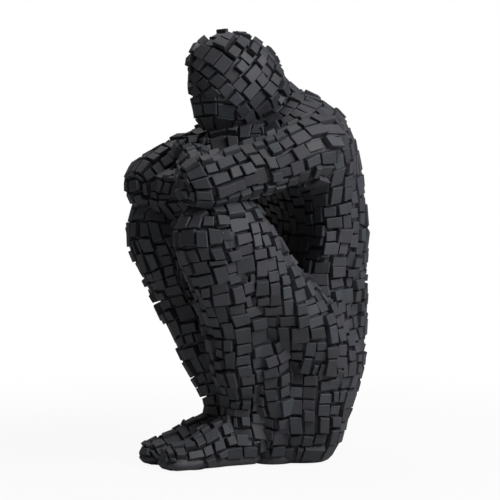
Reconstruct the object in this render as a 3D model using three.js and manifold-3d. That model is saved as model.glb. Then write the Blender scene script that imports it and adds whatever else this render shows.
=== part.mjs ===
// Seated figurine: a person with the knees drawn up, the arms folded on the knees and the head bowed.
// Black ceramic cast in hollow sections, every section faced with courses of small raised blocks.
// Millimetres, +Z up. The figure faces -Y, its left side is +X, the origin is under the middle of its box.
import * as THREE from "three";
import { mergeVertices } from "three/addons/utils/BufferGeometryUtils.js";
import Module from "manifold-3d";

const wasm = await Module();
wasm.setup();
const { Manifold, Mesh } = wasm;

// Block facing: sizes of the blocks, height of a crown, half width of a groove, plain band at the ground.
const blockSize = 14.5;
const trunkBlockSize = 17;
const headBlockSize = 13;
const footBlockSize = 11;
const handBlockSize = 11;
const blockLift = 1.6;
const grooveHalf = 1.1;
const plainBand = 7;

// Castings: wall, clearance between sections, length of the bosses that the hollow limbs slip over.
const wall = 5;
const slip = 0.6;
const bossReach = 6;
const ventRadius = 6;
const tenonRadius = 6;
const wristPinRadius = 4.5;
const seatVentRadius = 6;

// Felt pads let into the underside of the seat and the feet, proud of it by the base gap.
const base = 0.4;
const padThickness = 1.2;
const padGap = 0.3;
const seatPadRadius = 10;
const footPadRadius = 8;

// Trunk: widths, depths to the front and to the back, heights.
const seatWidth = 92;
const hipWidth = 98;
const waistWidth = 89;
const shoulderWidth = 108;
const seatDepth = 33;
const bellyDepth = 7;
const chestDepth = 28;
const backDepth = 50;
const trunkAxis = 26;
const hipLine = 40;
const waistLine = 90;
const ribLine = 153;
const trunkTop = 228;
const shoulderDrop = 22;
const shoulderHeight = trunkTop - shoulderDrop;
const trunkDome = 34;
const seatTuck = 26;
const armpitDrop = 26;

// Legs.
const hipSpread = 50;
const hipHeight = 50;
const hipSetback = 40;
const kneeSpread = 71;
const kneeReach = 52;
const kneeHeight = 165;
const thighRadius = 24.5;
const kneeRadius = 19.5;
const calfRadius = 18;
const ankleSpread = 27.5;
const ankleReach = 18;
const ankleRadius = 12;
const footSpread = 27;
const footLength = 76;
const footWidth = 24;
const instepHeight = 27;

// Arms: the elbows lie on the knees and the forearms cross inside, the left one on top.
const armSpread = 101;
const elbowSpread = 72;
const leftElbowReach = 59;
const rightElbowReach = 56.5;
const rightElbowDrop = 6;
const leftArmArch = -1;
const rightArmArch = 2;
const elbowRise = 13;
const elbowHeight = kneeHeight + elbowRise;
const upperArmRadius = 15.5;
const elbowRadius = 11;
const forearmRadius = 13;
const wristRadius = 10.5;
const shoulderRoot = 30;
const shoulderRound = 10;
const armLead = 22;
const elbowPast = 14;
const armRootDome = 14;
const elbowDome = 16;
const wristDome = 8;
const wristCross = 6;
const leftWristReach = 42;
const rightWristReach = 41;
const leftWristLift = 5;
const rightWristDrop = 6;
const leftWristHeight = elbowHeight + elbowRise + leftWristLift;
const rightWristHeight = elbowHeight - rightWristDrop;
const leftTipCross = 34;
const rightTipCross = 28;
const leftTipReach = 27;
const rightTipReach = 22;
const leftTipLift = 3;
const rightTipLift = 2;
const leftTipHeight = leftWristHeight + leftTipLift;
const rightTipHeight = rightWristHeight + rightTipLift;
const knuckleLift = 2;

// Head.
const headWidth = 50;
const headFront = 28;
const headBack = 26;
const headRun = 46;
const headRise = 44;
const headDome = 28;
const headOver = 47;
const crownHeight = trunkTop + headOver;
const browReach = 39;
const faceWidth = 39;
const faceDepth = 35;
const faceHeight = 41;
const faceDrop = 64;
const chinHeight = crownHeight - faceDrop;
const chinDome = 9;
const neckRadius = 18.5;

// Cutting blocks reach past the figure on every side.
const beyond = 400;

function randomFrom(seed) {
  let state = seed;
  return () => {
    state = (state + 0x6d2b79f5) | 0;
    let mixed = Math.imul(state ^ (state >>> 15), state | 1);
    mixed ^= mixed + Math.imul(mixed ^ (mixed >>> 7), mixed | 61);
    return ((mixed ^ (mixed >>> 14)) >>> 0) / 4294967296;
  };
}

// A form is swept through stations. A station is a centre and the half widths of the section there, to the
// side, to the front and to the back. Both ends close in a dome of the given length.
function form(stations, domes, sideways = [1, 0, 0]) {
  const line = new THREE.CatmullRomCurve3(stations.map((s) => new THREE.Vector3(...s[0])));
  const widths = new THREE.CatmullRomCurve3(stations.map((s) => new THREE.Vector3(s[1], s[2], s[3])));
  const reach = line.getLength();
  const lateral = new THREE.Vector3(...sideways);

  function section(along) {
    const t = line.getUtoTmapping(along);
    const tangent = line.getTangent(t);
    const side = lateral.clone().addScaledVector(tangent, -lateral.dot(tangent)).normalize();
    const front = new THREE.Vector3().crossVectors(side, tangent);
    const fromStart = Math.min(1, (along * reach) / domes[0]);
    const fromEnd = Math.min(1, ((1 - along) * reach) / domes[1]);
    const dome = Math.sqrt((1 - (1 - fromStart) ** 2) * (1 - (1 - fromEnd) ** 2));
    const half = widths.getPoint(t).multiplyScalar(dome);
    return { centre: line.getPoint(t), tangent, side, front, half };
  }

  // Courses are laid by distance over the skin, from the first pole to the last.
  const steps = 240;
  const cuts = Array.from({ length: steps + 1 }, (_, i) => section(i / steps));
  const girthOf = (cut) => Math.PI * (cut.half.x + (cut.half.y + cut.half.z) / 2);
  const travelled = [0];
  for (let i = 1; i <= steps; i++) {
    const rise = cuts[i].centre.distanceTo(cuts[i - 1].centre);
    const spread = (girthOf(cuts[i]) - girthOf(cuts[i - 1])) / (2 * Math.PI);
    travelled.push(travelled[i - 1] + Math.hypot(rise, spread));
  }
  const length = travelled[steps];

  function sectionAt(distance) {
    const goal = Math.min(Math.max(distance, 0), length);
    let i = 1;
    while (i < steps && travelled[i] < goal) i++;
    const part = (goal - travelled[i - 1]) / (travelled[i] - travelled[i - 1]);
    return section((i - 1 + part) / steps);
  }

  function point(distance, turn) {
    const cut = sectionAt(distance);
    const angle = turn * 2 * Math.PI;
    const depth = Math.sin(angle) > 0 ? cut.half.y : cut.half.z;
    return cut.centre
      .addScaledVector(cut.side, Math.cos(angle) * cut.half.x)
      .addScaledVector(cut.front, Math.sin(angle) * depth);
  }

  function normal(distance, turn) {
    const step = 0.5;
    const here = Math.min(Math.max(distance, step), length - step);
    const east = point(here, turn + 0.004).sub(point(here, turn - 0.004));
    const north = point(here + step, turn).sub(point(here - step, turn));
    return north.cross(east).normalize();
  }

  function contains(place, margin) {
    const pitch = reach / steps;
    return cuts.some((cut) => {
      const offset = place.clone().sub(cut.centre);
      const inward = offset.dot(cut.front);
      const across = offset.dot(cut.side) / (cut.half.x - margin);
      const through = inward / ((inward > 0 ? cut.half.y : cut.half.z) - margin);
      return Math.abs(offset.dot(cut.tangent)) < pitch * 2 && Math.hypot(across, through) < 1;
    });
  }

  const girth = (distance) => girthOf(sectionAt(distance));
  return { stations, domes, sideways, length, point, normal, girth, contains };
}

// The same form with its skin moved out, or in when the distance is negative.
function grow(shape, by) {
  const centres = shape.stations.map((s) => new THREE.Vector3(...s[0]));
  const last = centres.length - 1;
  const ends = [centres[0].clone().sub(centres[1]), centres[last].clone().sub(centres[last - 1])];
  centres[0].addScaledVector(ends[0].normalize(), by);
  centres[last].addScaledVector(ends[1].normalize(), by);
  const stations = shape.stations.map((s, i) => [centres[i].toArray(), s[1] + by, s[2] + by, s[3] + by]);
  return form(stations, shape.domes.map((d) => d + by), shape.sideways);
}

function solid(points, triangles) {
  const vertProperties = new Float32Array(points.flatMap((p) => p.toArray()));
  return new Manifold(new Mesh({ numProp: 3, vertProperties, triVerts: new Uint32Array(triangles) }));
}

function solidOf(geometry) {
  geometry.deleteAttribute("normal");
  geometry.deleteAttribute("uv");
  const merged = mergeVertices(geometry, 1e-4);
  const vertProperties = new Float32Array(merged.attributes.position.array);
  const triVerts = new Uint32Array(merged.index.array);
  return new Manifold(new Mesh({ numProp: 3, vertProperties, triVerts }));
}

// A form with an even skin, for cavities, bosses and the seats where sections meet.
function smooth(shape, around, pitch) {
  const rows = Math.max(4, Math.round(shape.length / pitch));
  const points = [shape.point(0, 0)];
  const triangles = [];
  for (let row = 1; row < rows; row++) {
    for (let k = 0; k < around; k++) points.push(shape.point((shape.length * row) / rows, k / around));
  }
  const end = points.push(shape.point(shape.length, 0)) - 1;
  const at = (row, k) => 1 + (row - 1) * around + (k % around);
  for (let k = 0; k < around; k++) {
    triangles.push(0, at(1, k), at(1, k + 1));
    for (let row = 1; row < rows - 1; row++) {
      triangles.push(at(row, k), at(row + 1, k + 1), at(row, k + 1));
      triangles.push(at(row, k), at(row + 1, k), at(row + 1, k + 1));
    }
    triangles.push(end, at(rows - 1, k + 1), at(rows - 1, k));
  }
  return solid(points, triangles);
}

// The skin of a form laid in courses of raised blocks with staggered joints. It stays plain near the ground.
// Blocks that another section covers are level at crown height, to seat it.
function clad(shape, seed, { size = blockSize, covers = [] } = {}) {
  const random = randomFrom(seed);
  const rows = Math.max(4, Math.round(shape.length / size));
  const pitch = shape.length / rows;
  const points = [];
  const triangles = [];
  const add = (distance, turn, lift) => {
    const place = shape.point(distance, turn);
    if (lift > 0) place.addScaledVector(shape.normal(distance, turn), lift);
    return points.push(place) - 1;
  };
  const face = (a, b, c) => triangles.push(a, c, b);

  const courses = [];
  for (let row = 1; row < rows - 1; row++) {
    const middle = (row + 0.5) * pitch;
    const count = Math.max(5, Math.round(shape.girth(middle) / size));
    const start = random();
    const joints = [];
    for (let k = 0; k < count; k++) joints.push((start + (k + 0.3 * (random() - 0.5)) / count) % 1);
    joints.sort((a, b) => a - b);
    const kinds = joints.map((joint, k) => {
      const next = k + 1 < count ? joints[k + 1] : joints[0] + 1;
      const centre = shape.point(middle, (joint + next) / 2);
      if (covers.some((cover) => cover.contains(centre, 2))) return "seat";
      return centre.z < base + plainBand ? "plain" : "raised";
    });
    courses[row] = { joints, kinds, middle };
  }

  const kindAt = (course, turn) => {
    if (!course) return "raised";
    const wrapped = ((turn % 1) + 1) % 1;
    let k = course.joints.length - 1;
    while (k > 0 && course.joints[k] > wrapped) k--;
    return wrapped < course.joints[0] ? course.kinds[course.joints.length - 1] : course.kinds[k];
  };

  // A ring carries the joints of the course below it and of the course above, close ones as one vertex.
  const rings = [];
  for (let i = 1; i < rows; i++) {
    const around = [courses[i - 1], courses[i]];
    const marks = around.flatMap((course) => course?.joints ?? []).sort((a, b) => a - b);
    const closest = (0.22 * size) / shape.girth(i * pitch);
    const turns = marks.filter((mark, k) => k === 0 || mark - marks[k - 1] > closest);
    if (turns[0] + 1 - turns[turns.length - 1] < closest) turns.pop();
    const ids = turns.map((turn) => {
      const near = around.flatMap((course) => [kindAt(course, turn - 0.01), kindAt(course, turn + 0.01)]);
      return add(i * pitch, turn, near.every((kind) => kind === "seat") ? blockLift : 0);
    });
    rings[i] = { turns, ids };
  }

  const vertexNear = (ring, turn) => {
    const gap = (a) => Math.abs(((a - turn + 1.5) % 1) - 0.5);
    return ring.turns.reduce((best, mark, k) => (gap(mark) < gap(ring.turns[best]) ? k : best), 0);
  };
  const stretch = (ring, from, to) => {
    const ids = [ring.ids[from]];
    for (let k = from; k !== to || ids.length === 1; ) {
      k = (k + 1) % ring.ids.length;
      ids.push(ring.ids[k]);
    }
    return ids;
  };
  const fan = (ids, a, b, flip) => {
    const half = Math.floor(ids.length / 2);
    const put = flip ? (p, q, r) => face(q, p, r) : face;
    ids.slice(1).forEach((id, k) => put(ids[k], id, k < half ? a : b));
    put(a, ids[half], b);
  };

  courses.forEach((course, row) => {
    const low = rings[row];
    const high = rings[row + 1];
    course.joints.forEach((joint, k) => {
      const next = course.joints[(k + 1) % course.joints.length];
      const ends = [joint, next].map((turn) => [vertexNear(low, turn), vertexNear(high, turn)]);
      const under = stretch(low, ends[0][0], ends[1][0]);
      const over = stretch(high, ends[0][1], ends[1][1]);
      if (course.kinds[k] !== "raised") {
        under.slice(1).forEach((id, j) => face(under[j], id, over[0]));
        over.slice(1).forEach((id, j) => face(under[under.length - 1], id, over[j]));
        return;
      }
      const lift = blockLift * (0.65 + 0.35 * random());
      const corner = (ring, place, eastward, northward) => {
        const mark = ring.turns[place];
        const distance = (northward > 0 ? row : row + 1) * pitch + northward * grooveHalf;
        const inset = (eastward * grooveHalf) / shape.girth(distance);
        return add(distance, mark + inset, Math.min(blockLift, lift * (0.9 + 0.2 * random())));
      };
      const southWest = corner(low, ends[0][0], 1, 1);
      const southEast = corner(low, ends[1][0], -1, 1);
      const northEast = corner(high, ends[1][1], -1, -1);
      const northWest = corner(high, ends[0][1], 1, -1);
      face(southWest, southEast, northEast);
      face(southWest, northEast, northWest);
      fan(under, southWest, southEast, false);
      fan(over, northWest, northEast, true);
      face(under[0], southWest, northWest);
      face(under[0], northWest, over[0]);
      face(southEast, under[under.length - 1], over[over.length - 1]);
      face(southEast, over[over.length - 1], northEast);
    });
  });

  // Each end closes with one round block.
  for (const [ring, pole, inset, flip] of [
    [rings[1], 0, pitch - grooveHalf, false],
    [rings[rows - 1], shape.length, shape.length - pitch + grooveHalf, true],
  ]) {
    const put = flip ? (a, b, c) => face(a, c, b) : face;
    const tip = add(pole, 0, blockLift * 0.8);
    const rim = ring.turns.map((turn) => add(inset, turn, blockLift * 0.8));
    rim.forEach((id, k) => {
      const after = (k + 1) % rim.length;
      put(id, rim[after], ring.ids[after]);
      put(id, ring.ids[after], ring.ids[k]);
      put(tip, rim[after], id);
    });
  }
  return solid(points, triangles);
}

const trunk = form([
  [[0, trunkAxis - 1, -0.25 * hipLine], seatWidth / 2, seatDepth - 2, backDepth - seatTuck],
  [[0, trunkAxis, 0.425 * hipLine], seatWidth / 2, seatDepth, backDepth - seatTuck + 2],
  [[0, trunkAxis + 2, hipLine], hipWidth / 2, seatDepth + 2, backDepth - 18],
  [[0, trunkAxis + 2, (hipLine + waistLine) / 2], waistWidth / 2 + 1, seatDepth - 4, backDepth - 8],
  [[0, trunkAxis, waistLine], waistWidth / 2, bellyDepth + 10, backDepth - 2],
  [[0, trunkAxis - 2, (waistLine + ribLine) / 2], waistWidth / 2 + 1, bellyDepth, backDepth],
  [[0, trunkAxis + 1, ribLine], shoulderWidth / 2 - 6, bellyDepth - 1, backDepth - 3],
  [[0, trunkAxis - 2, shoulderHeight - armpitDrop], shoulderWidth / 2 - 2, bellyDepth + 5, backDepth - 8],
  [[0, trunkAxis - 9, shoulderHeight - 3], shoulderWidth / 2, chestDepth, backDepth - 8],
  [[0, trunkAxis - 22, trunkTop], shoulderWidth / 2 - 3, chestDepth + 4, backDepth - 9],
], [trunkDome, trunkDome]);

function legForms(hand) {
  const hip = (hand * hipSpread) / 2;
  const knee = (hand * kneeSpread) / 2;
  const ankle = (hand * ankleSpread) / 2;
  const foot = (hand * footSpread) / 2;
  return {
    thigh: form([
      [[hip, hipSetback, hipHeight], thighRadius, thighRadius - 1, thighRadius - 0.5],
      [[1.16 * hip, 0.6 * hipSetback, 1.6 * hipHeight], thighRadius + 1, thighRadius, thighRadius - 2],
      [[0.94 * knee, -0.1 * kneeReach, 0.68 * kneeHeight], thighRadius, thighRadius - 1, 0.86 * thighRadius],
      [[knee, -0.615 * kneeReach, 0.873 * kneeHeight], kneeRadius + 2, kneeRadius + 2, 1.17 * kneeRadius],
      [[knee, -kneeReach, kneeHeight], kneeRadius, kneeRadius, kneeRadius + 2.5],
    ], [24, 16]),
    calf: form([
      [[knee, -kneeReach - 1, kneeHeight + 1], kneeRadius, kneeRadius, kneeRadius],
      [[knee, -kneeReach - 1, 0.89 * kneeHeight], kneeRadius, kneeRadius, kneeRadius],
      [[0.89 * knee, -0.73 * kneeReach, 0.655 * kneeHeight], calfRadius, calfRadius + 5, calfRadius - 1],
      [[0.62 * knee, -0.52 * kneeReach, 0.425 * kneeHeight], calfRadius - 1, calfRadius + 5, calfRadius - 4],
      [[ankle, -ankleReach, 0.23 * kneeHeight], ankleRadius, ankleRadius + 6, ankleRadius - 1],
      [[ankle, 1 - ankleReach, 0.06 * kneeHeight], ankleRadius + 1, ankleRadius + 6, ankleRadius],
    ], [20, 8]),
    foot: form([
      [[foot, -2, 11], footWidth / 2 - 0.5, 12, 10],
      [[foot, -14, 12], footWidth / 2, 13, instepHeight - 13],
      [[foot, -31, 12], footWidth / 2, 13, instepHeight - 11],
      [[foot, -54, 8], footWidth / 2 + 0.5, 9, 9.5],
      [[foot, -footLength, 6], footWidth / 2, 7, 6],
    ], [12, 12]),
  };
}

function upperArm(hand, arch, drop, elbowReach) {
  const shoulder = (hand * armSpread) / 2;
  const elbow = (hand * elbowSpread) / 2;
  const radius = upperArmRadius;
  return form([
    [[0.75 * shoulder, shoulderRoot, shoulderHeight - 4], radius, radius, radius + 2],
    [[shoulder - hand, shoulderRound, shoulderHeight - 5], radius, radius + 1, radius + 1],
    [[shoulder - hand * 5, -armLead, (shoulderHeight + elbowHeight) / 2 + arch], radius, radius, radius],
    [[elbow, -elbowReach - elbowPast, elbowHeight - drop], radius, radius, radius],
  ], [armRootDome, elbowDome]);
}

// A forearm runs straight from the elbow to the wrist, a hand goes on from the wrist to the finger tips.
function foreArm(hand, drop, elbowReach, wrist) {
  const elbow = [(hand * elbowSpread) / 2, 3 - elbowReach, elbowHeight - drop];
  const belly = elbow.map((e, i) => e + (wrist[i] - e) * 0.48);
  return form([
    [elbow, elbowRadius, elbowRadius, elbowRadius],
    [belly, forearmRadius, forearmRadius, forearmRadius],
    [wrist, wristRadius, wristRadius, wristRadius],
  ], [elbowRadius, wristDome], [0, 1, 0]);
}

function handForm(wrist, tip) {
  const along = (share, lift) => wrist.map((w, i) => w + (tip[i] - w) * share + (i === 2 ? lift : 0));
  return form([
    [along(-0.1, 0), wristRadius, wristRadius - 1, wristRadius - 1],
    [along(0.5, knuckleLift), wristRadius + 1.5, wristRadius - 3, wristRadius - 3],
    [tip, wristRadius - 1.5, wristRadius - 5, wristRadius - 5],
  ], [wristDome, wristDome], [0, 1, 0]);
}

const legs = { left: legForms(1), right: legForms(-1) };
const wrists = {
  left: [-wristCross, -leftWristReach, leftWristHeight],
  right: [wristCross, -rightWristReach, rightWristHeight],
};
const arms = {
  left: {
    upper: upperArm(1, leftArmArch, 0, leftElbowReach),
    lower: foreArm(1, 0, leftElbowReach, wrists.left),
  },
  right: {
    upper: upperArm(-1, rightArmArch, rightElbowDrop, rightElbowReach),
    lower: foreArm(-1, rightElbowDrop, rightElbowReach, wrists.right),
  },
};
const hands = {
  left: handForm(wrists.left, [-leftTipCross, -leftTipReach, leftTipHeight]),
  right: handForm(wrists.right, [rightTipCross, -rightTipReach, rightTipHeight]),
};
const neck = form([
  [[0, trunkAxis, shoulderHeight - 2], neckRadius + 3, neckRadius + 1, neckRadius + 1],
  [[0, 0.46 * trunkAxis, trunkTop - 5], neckRadius, neckRadius, neckRadius],
  [[0, -0.23 * trunkAxis, trunkTop + 0.28 * headOver], neckRadius, neckRadius, neckRadius],
], [8, 8]);
const browHeight = crownHeight - 8;
const skull = form([
  [[0, headRun - browReach, browHeight - headRise], headWidth / 2, headFront - 1, headBack - 2],
  [[0, 0.56 * headRun - browReach, browHeight - headRise / 2], headWidth / 2, headFront + 1, headBack + 1],
  [[0, -browReach, browHeight], headWidth / 2, headFront, headBack - 1],
], [headDome - 2, headDome]);
const face = form([
  [[0, 14 - browReach, chinHeight], faceWidth / 2 - 1.5, faceDepth / 2 - 2, faceDepth / 2 - 2],
  [[0, 14 - browReach, chinHeight + faceHeight / 2], faceWidth / 2, faceDepth / 2 - 1, faceDepth / 2],
  [[0, 11 - browReach, chinHeight + faceHeight], faceWidth / 2 + 1, faceDepth / 2 + 1, faceDepth / 2],
], [chinDome, faceWidth / 2]);

// The crowns of a section's blocks all lie inside this form, which cuts the seat in its neighbours.
function crownOf(shape, around = 16, pitch = 9) {
  const widest = Math.max(...shape.stations.map((s) => s[1]));
  const facetSag = widest * (1 - Math.cos(Math.PI / around));
  return smooth(grow(shape, blockLift + slip + facetSag), around, pitch);
}

const trunkCrown = () => crownOf(trunk, 28, 10);
const hollowOf = (shape, around = 8) => smooth(grow(shape, -wall), around, 18);

// A boss on one section fills the mouth of the hollow limb that slips over it.
function bossFor(limb, host) {
  const plug = smooth(grow(limb, -wall - slip), 8, 18);
  return plug.intersect(smooth(grow(host, blockLift + slip + bossReach), 16, 16));
}

function block(width, depth, height, at) {
  return solidOf(new THREE.BoxGeometry(width, depth, height).translate(...at));
}

function rod(radius, from, to, sides = 20) {
  const start = new THREE.Vector3(...from);
  const axis = new THREE.Vector3(...to).sub(start);
  const upright = new THREE.Vector3(0, 1, 0);
  const turn = new THREE.Quaternion().setFromUnitVectors(upright, axis.clone().normalize());
  const shaft = new THREE.CylinderGeometry(radius, radius, axis.length(), sides);
  return solidOf(shaft.applyQuaternion(turn).translate(...start.addScaledVector(axis, 0.5)));
}

function cutAll(body, tools) {
  return tools.reduce((rest, tool) => rest.subtract(tool), body);
}

function largest(body) {
  return body.decompose().reduce((best, piece) => (piece.volume() > best.volume() ? piece : best));
}

const ground = block(beyond, beyond, beyond, [0, 0, base - beyond / 2]);
const middle = block(2 * padGap, beyond, 2 * beyond, [0, 0, 0]);
const far = (hand) => block(beyond, beyond, 2 * beyond, [(-hand * beyond) / 2, 0, 0]);

const sides = { left: 1, right: -1 };
const kneeForms = Object.values(legs).flatMap((leg) => [leg.thigh, leg.calf]);
const bodies = {};

// A tenon at each shoulder goes through the trunk's wall, and a pin on each hand goes into the forearm.
function shoulderTenon(side, radius) {
  const shoulder = (sides[side] * armSpread) / 2;
  const at = (outward) => [shoulder + sides[side] * outward, shoulderRound - 1, shoulderHeight - 7];
  return rod(radius, at(6), at(-13), 12);
}

function wristPin(side, radius) {
  const [, elbow, wrist] = arms[side].lower.stations.map((s) => new THREE.Vector3(...s[0]));
  const ends = [-0.1, 0.55].map((share) => wrist.clone().lerp(elbow, share).toArray());
  return rod(radius, ...ends, 12);
}

function buildTorso() {
  const hollowLimbs = [neck, legs.left.thigh, legs.right.thigh];
  const covers = [...hollowLimbs, arms.left.upper, arms.right.upper];
  const body = clad(trunk, 11, { size: trunkBlockSize, covers });
  const bossed = hollowLimbs.reduce((rest, limb) => rest.add(bossFor(limb, trunk)), body);
  const floor = block(beyond, beyond, beyond, [0, 0, base + wall - beyond / 2]);
  const vents = hollowLimbs.map((limb) => {
    const inner = new THREE.Vector3(...limb.stations[0][0]);
    const outer = new THREE.Vector3(...limb.stations[1][0]);
    return rod(ventRadius, inner.toArray(), inner.clone().lerp(outer, 1.6).toArray(), 8);
  });
  const seatVent = rod(seatVentRadius, [0, trunkAxis, -wall], [0, trunkAxis, base + wall + 2]);
  const sockets = Object.keys(sides).map((side) => shoulderTenon(side, tenonRadius + slip));
  const hollow = hollowOf(trunk, 14).subtract(floor);
  return largest(cutAll(bossed, [ground, hollow, seatVent, ...vents, ...sockets]));
}

function buildLeg(side, seed) {
  const { thigh, calf, foot } = legs[side];
  const covers = Object.values(arms).flatMap((arm) => [arm.upper, arm.lower]);
  const body = clad(thigh, seed, { covers }).add(clad(calf, seed + 1, { covers }));
  const hollow = hollowOf(thigh).add(hollowOf(calf));
  const tools = [hollow, trunkCrown(), crownOf(foot), middle, far(sides[side]), ground];
  return largest(cutAll(body, tools));
}

function buildFoot(side, seed) {
  const { calf, foot } = legs[side];
  const body = clad(foot, seed, { size: footBlockSize, covers: [calf] }).add(bossFor(calf, foot));
  return largest(cutAll(body, [trunkCrown(), middle, far(sides[side]), ground]));
}

function buildArm(side, seed, over) {
  const { upper, lower } = arms[side];
  const body = clad(upper, seed).add(clad(lower, seed + 1, { covers: [hands[side]] }));
  const tools = [hands[side], ...kneeForms, ...over].map((shape) => crownOf(shape));
  const seated = cutAll(body, [trunkCrown(), ...tools, wristPin(side, wristPinRadius + slip)]);
  return largest(seated.add(shoulderTenon(side, tenonRadius)));
}

function buildHand(side, seed, over) {
  const body = clad(hands[side], seed, { size: handBlockSize }).add(wristPin(side, wristPinRadius));
  return largest(cutAll(body, over.map((shape) => crownOf(shape))));
}

function buildHead() {
  const others = [...Object.values(arms).flatMap((arm) => [arm.upper, arm.lower]), ...Object.values(hands)];
  const size = headBlockSize;
  const nape = clad(neck, 63, { size: trunkBlockSize });
  const body = clad(skull, 61, { size }).add(clad(face, 62, { size })).add(nape);
  const hollow = hollowOf(skull, 12).add(hollowOf(neck));
  return largest(cutAll(body, [hollow, trunkCrown(), ...others.map((shape) => crownOf(shape))]));
}

const padPlaces = Object.entries(sides).flatMap(([side, hand]) => [
  [`${side}_seat_pad`, "torso", seatPadRadius, hand * seatWidth * 0.21, trunkAxis - 1],
  [`${side}_foot_pad`, `${side}_foot`, footPadRadius, (hand * footSpread) / 2, -0.7 * footLength],
]);

bodies.torso = buildTorso();
bodies.head = buildHead();
bodies.left_leg = buildLeg("left", 21);
bodies.right_leg = buildLeg("right", 31);
bodies.left_foot = buildFoot("left", 25);
bodies.right_foot = buildFoot("right", 35);
bodies.right_arm = buildArm("right", 41, []);
bodies.left_arm = buildArm("left", 51, [arms.right.upper, arms.right.lower]);
bodies.right_hand = buildHand("right", 45, [arms.left.upper, arms.left.lower, ...kneeForms]);
bodies.left_hand = buildHand("left", 55, [arms.right.upper, arms.right.lower, trunk, ...kneeForms]);

const pads = {};
for (const [name, host, radius, x, y] of padPlaces) {
  pads[name] = rod(radius, [x, y, 0], [x, y, padThickness], 20);
  bodies[host] = bodies[host].subtract(rod(radius + padGap, [x, y, -1], [x, y, padThickness + padGap], 20));
}

const figure = new THREE.Group();
const ceramic = { color: 0x2c2c2f, roughness: 0.55, metalness: 0 };
const felt = { color: 0x1d1d1f, roughness: 0.95, metalness: 0 };

function place(name, body, finish) {
  const mesh = body.getMesh();
  const geometry = new THREE.BufferGeometry();
  geometry.setAttribute("position", new THREE.BufferAttribute(new Float32Array(mesh.vertProperties), 3));
  geometry.setIndex(new THREE.BufferAttribute(new Uint32Array(mesh.triVerts), 1));
  const item = new THREE.Mesh(geometry, new THREE.MeshStandardMaterial(finish));
  item.name = name;
  figure.add(item);
}

for (const [name, body] of Object.entries(bodies)) place(name, body, ceramic);
for (const [name, body] of Object.entries(pads)) place(name, body, felt);

const box = new THREE.Box3().setFromObject(figure);
const centre = box.getCenter(new THREE.Vector3());
figure.position.set(-centre.x, -centre.y, -box.min.z);
export default figure;
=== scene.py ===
import math
import random

import bmesh
import bpy
import numpy as np
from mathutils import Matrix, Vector
from mathutils.bvhtree import BVHTree


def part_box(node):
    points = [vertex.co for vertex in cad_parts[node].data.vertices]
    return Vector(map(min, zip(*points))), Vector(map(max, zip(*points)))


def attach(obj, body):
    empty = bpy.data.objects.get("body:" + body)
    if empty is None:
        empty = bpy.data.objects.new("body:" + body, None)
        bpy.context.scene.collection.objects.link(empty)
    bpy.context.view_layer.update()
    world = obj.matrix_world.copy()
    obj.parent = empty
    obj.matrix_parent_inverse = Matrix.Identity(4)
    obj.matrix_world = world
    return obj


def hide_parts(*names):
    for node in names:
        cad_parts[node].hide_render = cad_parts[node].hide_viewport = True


# Black ceramic figurine, seated with the knees drawn up, faced all over with small raised blocks.
# The forms repeat the stations of the castings in millimetres, and meshes are made in metres.

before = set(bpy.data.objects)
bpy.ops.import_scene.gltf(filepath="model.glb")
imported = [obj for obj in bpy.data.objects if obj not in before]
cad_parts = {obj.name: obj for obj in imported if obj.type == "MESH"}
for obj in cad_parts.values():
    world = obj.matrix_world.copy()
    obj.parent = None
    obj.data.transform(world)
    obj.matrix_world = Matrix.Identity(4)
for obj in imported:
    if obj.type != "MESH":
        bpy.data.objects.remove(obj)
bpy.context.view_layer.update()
mm = 0.001
print("frame loaded:", len(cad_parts), "nodes")


def hexColour(code):
    channels = [int(code[i:i + 2], 16) / 255 for i in (1, 3, 5)]
    linear = [c / 12.92 if c <= 0.04045 else ((c + 0.055) / 1.055) ** 2.4 for c in channels]
    return (*linear, 1.0)


def socketNamed(sockets, name):
    return next(s for s in sockets if s.name == name and s.enabled)


# one node with its settings; an input, by place or by name, is a value or (node, output name)
def addNode(tree, kind, settings=None, values=(), **inputs):
    node = tree.nodes.new(kind)
    for key, value in (settings or {}).items():
        setattr(node, key, value)
    wanted = list(zip(node.inputs, values))
    wanted += [(socketNamed(node.inputs, key.replace("_", " ")), value) for key, value in inputs.items()]
    for socket, value in wanted:
        for link in value if isinstance(value, list) else [value]:
            if isinstance(link, tuple) and isinstance(link[0], bpy.types.Node):
                tree.links.new(socketNamed(link[0].outputs, link[1]), socket)
            else:
                socket.default_value = link
    return node


# materials

stonewareLook = {
    "deep": "#212226",        # a block that took the slip thin
    "pale": "#353b41",        # a block that took it thick
    "tinted": "#3c3941",      # the same where the fire left a little red
    "edge": "#4d4e53",        # rubbed arrises, and in part a painted highlight along every arris
    "edgeWearAndHighlightShare": 0.12,
    "blotch": (11.0, 3.0),    # mm and detail, clouding of the slip
    "grain": (1.3, 4.0),      # coarser than the real 0.3 mm grain so that it shows
    "pit": (0.9, 2.0),        # spacing of the fine pits
    "toneWeight": 0.62,       # how far blocks differ, beside the clouding
    "spread": (0.3, 1.25),    # sum of both from thin slip to thick
    "tintTurns": 23.0,        # turns a block's tone into a chance of its own
    "grainRange": (0.35, 0.7),
    "grainTone": (0.86, 1.12),
    "cloudRange": (0.3, 0.7),
    "roughness": (0.55, 0.68),
    "pitDepth": 0.12,         # mm
    "pitStrength": 0.35,
    "ior": 1.5,
}


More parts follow.
